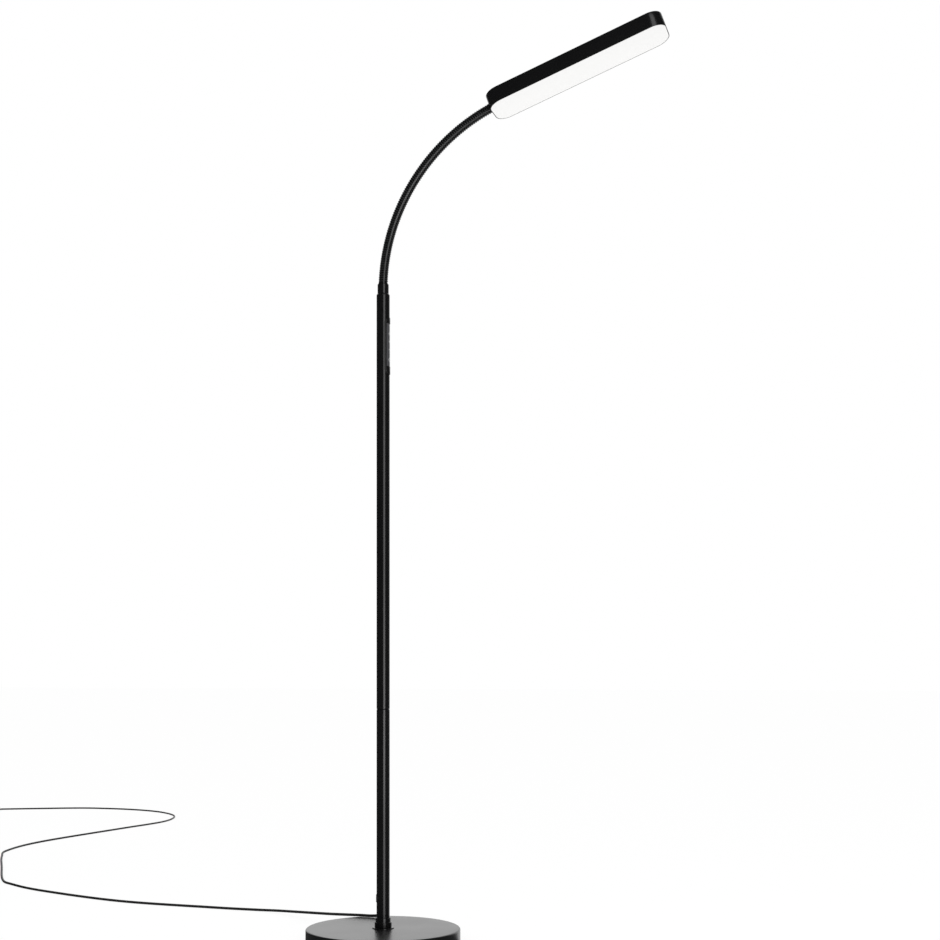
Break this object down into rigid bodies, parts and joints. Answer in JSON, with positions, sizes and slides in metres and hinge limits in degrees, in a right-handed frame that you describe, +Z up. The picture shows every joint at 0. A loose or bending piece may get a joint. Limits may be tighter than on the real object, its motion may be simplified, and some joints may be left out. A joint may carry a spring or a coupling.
{
  "type": "floor lamp",
  "caption": "Floor lamp with a round weighted base, a slim pole with a touch strip, a ribbed bendable neck and a long flat light head, with its cord and plug-in adapter.",
  "frame": {"origin": "centre of the underside of the base's foam pad, on the floor", "axes": "+Z up along the pole, +X from the pole towards the head and the touch panel, +Y completes the right-handed frame"},
  "size_m": [2.4706, 2.0191, 1.3535],
  "materials": {
    "base_black": "gloss",
    "pole_black": "satin",
    "neck_black": "satin",
    "trim_black": "satin",
    "head_black": "satin",
    "lens_grey": "gloss",
    "diffuser_white": "satin",
    "guide_clear": "gloss",
    "sheet_white": "satin",
    "led_white": "satin",
    "board_green": "satin",
    "insert_alloy": "satin",
    "screw_steel": "satin",
    "plate_steel": "matte",
    "weight_iron": "matte",
    "pad_foam": "matte",
    "grommet_black": "satin",
    "cord_black": "satin",
    "tie_black": "matte",
    "adapter_black": "satin",
    "pin_brass": "satin"
  },
  "bodies": {
    "stand": {"base_pad": "pad_foam", "base_plate": "plate_steel", "plate_screws": "screw_steel", "base_weight": "weight_iron", "base_cover": "base_black", "base_bolt": "screw_steel", "bolt_washer": "screw_steel", "foot_washer": "pole_black", "foot_collar": "pole_black", "foot_spigot": "insert_alloy", "lower_pole": "pole_black", "cord_bushing": "grommet_black", "pole_plug": "grommet_black", "joint_socket": "insert_alloy", "joint_stud": "insert_alloy", "upper_pole": "pole_black", "touch_bezel": "trim_black", "touch_lens": "lens_grey", "touch_board": "board_green", "pole_lead": "cord_black", "neck_lead": "cord_black", "pole_bush": "trim_black", "neck_ferrule": "neck_black", "cord": "cord_black", "cord_coil": "cord_black", "cord_tie": "tie_black", "cord_tail": "cord_black", "adapter_body": "adapter_black", "adapter_pins": "pin_brass"},
    "neck_root": {"neck_root": "neck_black"},
    "link_01": {"neck_link_1": "neck_black"},
    "link_02": {"neck_link_2": "neck_black"},
    "link_03": {"neck_link_3": "neck_black"},
    "link_04": {"neck_link_4": "neck_black"},
    "link_05": {"neck_link_5": "neck_black"},
    "link_06": {"neck_link_6": "neck_black"},
    "link_07": {"neck_link_7": "neck_black"},
    "link_08": {"neck_link_8": "neck_black"},
    "link_09": {"neck_link_9": "neck_black"},
    "link_10": {"neck_link_10": "neck_black"},
    "link_11": {"neck_link_11": "neck_black"},
    "link_12": {"neck_link_12": "neck_black"},
    "link_13": {"neck_link_13": "neck_black"},
    "link_14": {"neck_link_14": "neck_black"},
    "link_15": {"neck_link_15": "neck_black"},
    "neck_tip": {"neck_tip": "neck_black", "neck_nut": "screw_steel"},
    "head": {"head_housing": "head_black", "diffuser": "diffuser_white", "light_guide": "guide_clear", "reflector_sheet": "sheet_white", "led_strips": "led_white", "head_chassis": "insert_alloy", "driver_board": "board_green", "head_screws": "screw_steel", "head_lead": "cord_black"}
  },
  "joints": [
    {"name": "neck_swing", "type": "hinge", "parent": "stand", "child": "neck_root", "pos_m": [0, 0, 1.001], "axis": [0, 0, 1], "range_deg": [-180, 180]},
    {"name": "neck_bend_01", "type": "hinge", "parent": "neck_root", "child": "link_01", "pos_m": [0, 0, 1.001], "axis": [0, 1, 0], "range_deg": [-4.25, 4.6]},
    {"name": "neck_bend_02", "type": "hinge", "parent": "link_01", "child": "link_02", "pos_m": [0.00154, 0, 1.0218], "axis": [0, 1, 0], "range_deg": [-4.25, 4.6]},
    {"name": "neck_bend_03", "type": "hinge", "parent": "link_02", "child": "link_03", "pos_m": [0.00463, 0, 1.04242], "axis": [0, 1, 0], "range_deg": [-4.25, 4.6]},
    {"name": "neck_bend_04", "type": "hinge", "parent": "link_03", "child": "link_04", "pos_m": [0.00923, 0, 1.06276], "axis": [0, 1, 0], "range_deg": [-4.25, 4.6]},
    {"name": "neck_bend_05", "type": "hinge", "parent": "link_04", "child": "link_05", "pos_m": [0.01533, 0, 1.0827], "axis": [0, 1, 0], "range_deg": [-4.25, 4.6]},
    {"name": "neck_bend_06", "type": "hinge", "parent": "link_05", "child": "link_06", "pos_m": [0.02288, 0, 1.10214], "axis": [0, 1, 0], "range_deg": [-4.25, 4.6]},
    {"name": "neck_bend_07", "type": "hinge", "parent": "link_06", "child": "link_07", "pos_m": [0.03186, 0, 1.12096], "axis": [0, 1, 0], "range_deg": [-4.25, 4.6]},
    {"name": "neck_bend_08", "type": "hinge", "parent": "link_07", "child": "link_08", "pos_m": [0.04221, 0, 1.13906], "axis": [0, 1, 0], "range_deg": [-4.25, 4.6]},
    {"name": "neck_bend_09", "type": "hinge", "parent": "link_08", "child": "link_09", "pos_m": [0.05387, 0, 1.15635], "axis": [0, 1, 0], "range_deg": [-4.25, 4.6]},
    {"name": "neck_bend_10", "type": "hinge", "parent": "link_09", "child": "link_10", "pos_m": [0.06678, 0, 1.17273], "axis": [0, 1, 0], "range_deg": [-4.25, 4.6]},
    {"name": "neck_bend_11", "type": "hinge", "parent": "link_10", "child": "link_11", "pos_m": [0.08087, 0, 1.1881], "axis": [0, 1, 0], "range_deg": [-4.25, 4.6]},
    {"name": "neck_bend_12", "type": "hinge", "parent": "link_11", "child": "link_12", "pos_m": [0.09606, 0, 1.20239], "axis": [0, 1, 0], "range_deg": [-4.25, 4.6]},
    {"name": "neck_bend_13", "type": "hinge", "parent": "link_12", "child": "link_13", "pos_m": [0.11226, 0, 1.21551], "axis": [0, 1, 0], "range_deg": [-4.25, 4.6]},
    {"name": "neck_bend_14", "type": "hinge", "parent": "link_13", "child": "link_14", "pos_m": [0.1294, 0, 1.2274], "axis": [0, 1, 0], "range_deg": [-4.25, 4.6]},
    {"name": "neck_bend_15", "type": "hinge", "parent": "link_14", "child": "link_15", "pos_m": [0.14737, 0, 1.23798], "axis": [0, 1, 0], "range_deg": [-4.25, 4.6]},
    {"name": "neck_bend_16", "type": "hinge", "parent": "link_15", "child": "neck_tip", "pos_m": [0.16607, 0, 1.24721], "axis": [0, 1, 0], "range_deg": [-4.25, 4.6]},
    {"name": "head_twist", "type": "hinge", "parent": "neck_tip", "child": "head", "pos_m": [0.16607, 0, 1.24721], "axis": [0.9397, 0, 0.342], "range_deg": [-180, 180]}
  ],
  "couplings": [
    {"joint": "neck_bend_02", "follows": "neck_bend_01", "ratio": 1},
    {"joint": "neck_bend_03", "follows": "neck_bend_01", "ratio": 1},
    {"joint": "neck_bend_04", "follows": "neck_bend_01", "ratio": 1},
    {"joint": "neck_bend_05", "follows": "neck_bend_01", "ratio": 1},
    {"joint": "neck_bend_06", "follows": "neck_bend_01", "ratio": 1},
    {"joint": "neck_bend_07", "follows": "neck_bend_01", "ratio": 1},
    {"joint": "neck_bend_08", "follows": "neck_bend_01", "ratio": 1},
    {"joint": "neck_bend_09", "follows": "neck_bend_01", "ratio": 1},
    {"joint": "neck_bend_10", "follows": "neck_bend_01", "ratio": 1},
    {"joint": "neck_bend_11", "follows": "neck_bend_01", "ratio": 1},
    {"joint": "neck_bend_12", "follows": "neck_bend_01", "ratio": 1},
    {"joint": "neck_bend_13", "follows": "neck_bend_01", "ratio": 1},
    {"joint": "neck_bend_14", "follows": "neck_bend_01", "ratio": 1},
    {"joint": "neck_bend_15", "follows": "neck_bend_01", "ratio": 1},
    {"joint": "neck_bend_16", "follows": "neck_bend_01", "ratio": 1},
    {"joint": "head_twist", "follows": "neck_swing", "ratio": -1}
  ]
}
